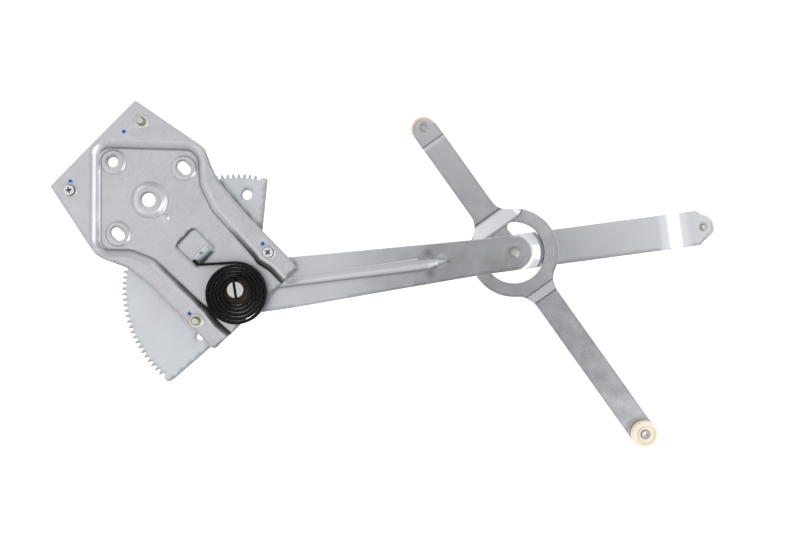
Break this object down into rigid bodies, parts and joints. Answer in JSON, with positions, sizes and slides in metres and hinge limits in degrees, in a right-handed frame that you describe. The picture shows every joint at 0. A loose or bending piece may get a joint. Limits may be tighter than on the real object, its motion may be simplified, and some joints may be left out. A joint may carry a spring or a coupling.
{
  "type": "window regulator",
  "caption": "Crossed-arm window regulator with gear sector, mounting plate, counterbalance spring, slotted pivot and three nylon rollers.",
  "frame": {"origin": "centre of the four panel fixings, on the front face of the mounting plate's flange, 2.4 mm behind the seats on the studs' collars", "axes": "+X along the lift arm's side of the door, +Y up the plate, +Z out of the flange towards the door's inner panel"},
  "size_m": [0.6779, 0.3494, 0.0634],
  "materials": {
    "zinc_plate": "zinc-plated pressed steel, fine spangle, satin",
    "sector_zinc": "bluish bright zinc, faint iridescence",
    "arm_zinc": "zinc-plated pressed steel, brushed lengthways",
    "bright_zinc": "bright zinc",
    "yellow_zinc": "yellow passivated zinc",
    "turned_steel": "turned steel",
    "bronze": "greased sintered bronze",
    "black_spring": "blackened spring steel, oiled",
    "nylon": "cream moulded nylon"
  },
  "bodies": {
    "plate": {"mounting_plate": "zinc_plate", "door_stud_upper": "yellow_zinc", "door_stud_lower": "yellow_zinc", "clinch_ring_upper": "yellow_zinc", "clinch_ring_lower": "yellow_zinc", "panel_screw_left": "bright_zinc", "panel_screw_right": "bright_zinc", "weld_nut_left": "bright_zinc", "weld_nut_right": "bright_zinc", "pivot_bush": "bronze", "counterbalance_spring": "black_spring"},
    "lift": {"sector_gear": "sector_zinc", "lift_arm": "arm_zinc", "pivot_post": "turned_steel", "pivot_washer": "bright_zinc", "sector_rivets": "turned_steel", "scissor_rivet": "turned_steel", "friction_washer": "bright_zinc", "back_washer": "bright_zinc", "lift_roller_stud": "turned_steel"},
    "crossing": {"crossing_arm": "arm_zinc", "upper_roller_stud": "turned_steel", "lower_roller_stud": "turned_steel"},
    "roller_lift": {"lift_roller": "nylon"},
    "roller_upper": {"upper_roller": "nylon"},
    "roller_lower": {"lower_roller": "nylon"}
  },
  "joints": [
    {"name": "lift_pivot", "type": "hinge", "parent": "plate", "child": "lift", "pos_m": [0.0665, -0.0685, -0.008], "axis": [0, 0, 1], "range_deg": [-60, 8], "stiffness_Nm_per_rad": 3.6, "deforming": ["counterbalance_spring"]},
    {"name": "scissor_pivot", "type": "hinge", "parent": "lift", "child": "crossing", "pos_m": [0.34781, -0.03097, -0.0265], "axis": [0, 0, 1], "range_deg": [-24, 140]},
    {"name": "lift_roller_spin", "type": "hinge", "parent": "lift", "child": "roller_lift", "pos_m": [0.54605, -0.00451, -0.04725], "axis": [0, 0, 1], "continuous": true},
    {"name": "upper_roller_spin", "type": "hinge", "parent": "crossing", "child": "roller_upper", "pos_m": [0.25559, 0.09832, -0.04725], "axis": [0, 0, 1], "continuous": true},
    {"name": "lower_roller_spin", "type": "hinge", "parent": "crossing", "child": "roller_lower", "pos_m": [0.47905, -0.21496, -0.01525], "axis": [0, 0, 1], "continuous": true}
  ]
}
